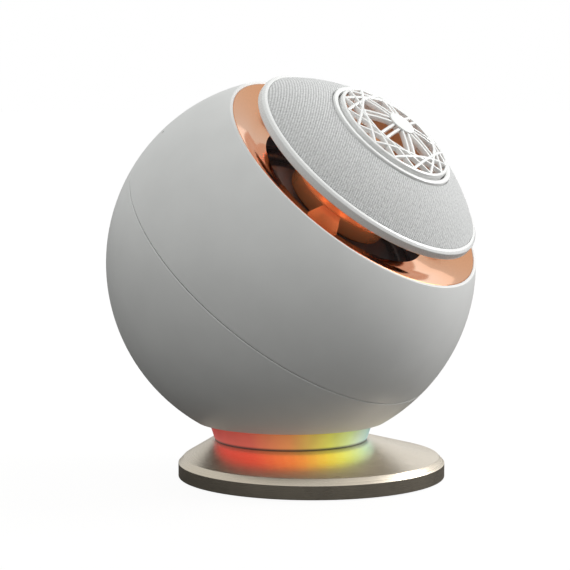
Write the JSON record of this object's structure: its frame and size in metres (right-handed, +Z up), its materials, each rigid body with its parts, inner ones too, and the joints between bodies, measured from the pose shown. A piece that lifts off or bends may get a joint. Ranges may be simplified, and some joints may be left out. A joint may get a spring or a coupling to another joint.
{
  "type": "smart speaker",
  "caption": "Ball speaker on a lit neck and flat round foot, its tilted fabric cap floating over a copper sound slot, with a lattice grille on top and keys at the back.",
  "frame": {"origin": "on the floor, straight under the centre of the ball", "axes": "+Z up, -Y to the front where the head leans, +X to the object's left as seen from the back"},
  "size_m": [0.16, 0.1606, 0.1733],
  "materials": {
    "shell_white": "fine matte moulded plastic",
    "rim_white": "satin white plastic",
    "grille_white": "gloss white plastic",
    "copper_plate": "polished rose copper plating",
    "fabric_grey": "light grey ribbed melange cloth",
    "foot_metal": "brushed champagne nickel",
    "light_ring": "translucent diffuser",
    "dark_plastic": "black moulded plastic",
    "pad_rubber": "matte rubber",
    "ballast_iron": "blackened cast iron",
    "screw_steel": "zinc plated steel",
    "board_green": "solder mask on glass fibre",
    "chip_black": "moulded epoxy",
    "led_white": "led package",
    "aluminium": "anodised",
    "magnet_ferrite": "ferrite",
    "motor_steel": "plated steel",
    "cone_paper": "coated pulp",
    "roll_rubber": "butyl rubber",
    "spider_cloth": "treated cotton",
    "coil_copper": "copper wire on former",
    "tweeter_silk": "coated silk",
    "lead_rubber": "cable jacket"
  },
  "bodies": {
    "speaker": {"baffle": "dark_plastic", "baffle_screws": "screw_steel", "ballast_ring": "ballast_iron", "base_plate": "foot_metal", "base_screws": "screw_steel", "board_chips": "chip_black", "board_connectors": "dark_plastic", "board_screws": "screw_steel", "board_spacers": "coil_copper", "bottom_cover": "dark_plastic", "button_board": "board_green", "button_board_screws": "screw_steel", "carrier_dome": "dark_plastic", "centre_cap": "grille_white", "collar_ring": "grille_white", "column_screws": "screw_steel", "fabric_skin": "fabric_grey", "foot_pad": "pad_rubber", "front_shell": "shell_white", "head_column": "copper_plate", "head_rim": "rim_white", "head_screws": "screw_steel", "head_tray": "copper_plate", "heat_sink": "aluminium", "lattice_grille": "grille_white", "led_board": "board_green", "led_chips": "led_white", "light_diffuser": "light_ring", "main_board": "board_green", "microphones": "chip_black", "neck_post": "aluminium", "neck_screws_lower": "screw_steel", "neck_screws_upper": "screw_steel", "phase_plug": "copper_plate", "power_board": "board_green", "power_lead": "lead_rubber", "power_socket": "screw_steel", "rear_shell": "shell_white", "sound_dish": "copper_plate", "tact_switches": "chip_black", "throat_bridge": "copper_plate", "tweeter_dome": "tweeter_silk", "tweeter_guide": "copper_plate", "tweeter_magnet": "magnet_ferrite", "woofer_back_plate": "motor_steel", "woofer_basket": "motor_steel", "woofer_magnet": "magnet_ferrite", "woofer_screws": "screw_steel", "woofer_spider": "spider_cloth", "woofer_surround": "roll_rubber", "woofer_top_plate": "motor_steel"},
    "diaphragm": {"coil_former": "coil_copper", "woofer_cone": "cone_paper", "dust_cap": "cone_paper"},
    "volume_down_key": {"button_volume_down": "shell_white"},
    "mute_key": {"button_mute": "shell_white"},
    "volume_up_key": {"button_volume_up": "shell_white"}
  },
  "joints": [
    {"name": "woofer_travel", "type": "slide", "parent": "speaker", "child": "diaphragm", "axis": [0, -0.66, 0.7513], "range_m": [-0.003, 0.003], "stiffness_N_per_m": 1200, "deforming": ["woofer_surround", "woofer_spider"]},
    {"name": "volume_down_press", "type": "slide", "parent": "speaker", "child": "volume_down_key", "axis": [0, -0.6046, -0.7965], "range_m": [0, 0.0008], "stiffness_N_per_m": 300, "springref_m": -0.0005},
    {"name": "mute_press", "type": "slide", "parent": "speaker", "child": "mute_key", "axis": [0, -0.6046, -0.7965], "range_m": [0, 0.0008], "stiffness_N_per_m": 300, "springref_m": -0.0005},
    {"name": "volume_up_press", "type": "slide", "parent": "speaker", "child": "volume_up_key", "axis": [0, -0.6046, -0.7965], "range_m": [0, 0.0008], "stiffness_N_per_m": 300, "springref_m": -0.0005}
  ]
}
